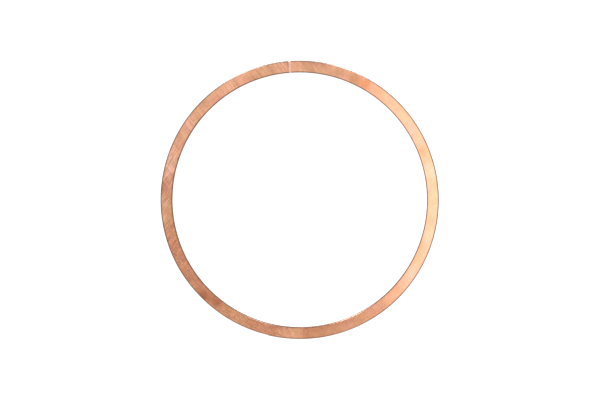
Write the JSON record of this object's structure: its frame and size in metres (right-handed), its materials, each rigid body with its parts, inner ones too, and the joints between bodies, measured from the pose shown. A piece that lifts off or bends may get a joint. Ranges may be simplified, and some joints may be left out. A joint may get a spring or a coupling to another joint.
{
  "type": "flat sealing ring",
  "caption": "Large thin flat ring of bare copper, rectangular in section, made from half rings of strip brazed end to end; seals or spaces between two flat flanges.",
  "frame": {"origin": "centre of the ring, on the face it rests on", "axes": "+Z along the ring's axis, out of the upper face; +Y across the ring, 4.1 degrees short of the pale upper joint; +X across the ring, to the right as seen from above with +Y up"},
  "size_m": [0.12, 0.1201, 0.0025],
  "materials": {
    "copper": "bare copper, dressed with a fine abrasive: straight crossing scratches, satin",
    "silver_braze": "pale silver-bearing braze metal, satin, lightly pitted",
    "copper_braze": "copper-coloured braze metal, dressed flush"
  },
  "bodies": {
    "root": {"left_half_strip": "copper", "right_half_strip": "copper", "top_braze_joint": "silver_braze", "bottom_braze_joint": "copper_braze"}
  },
  "joints": []
}
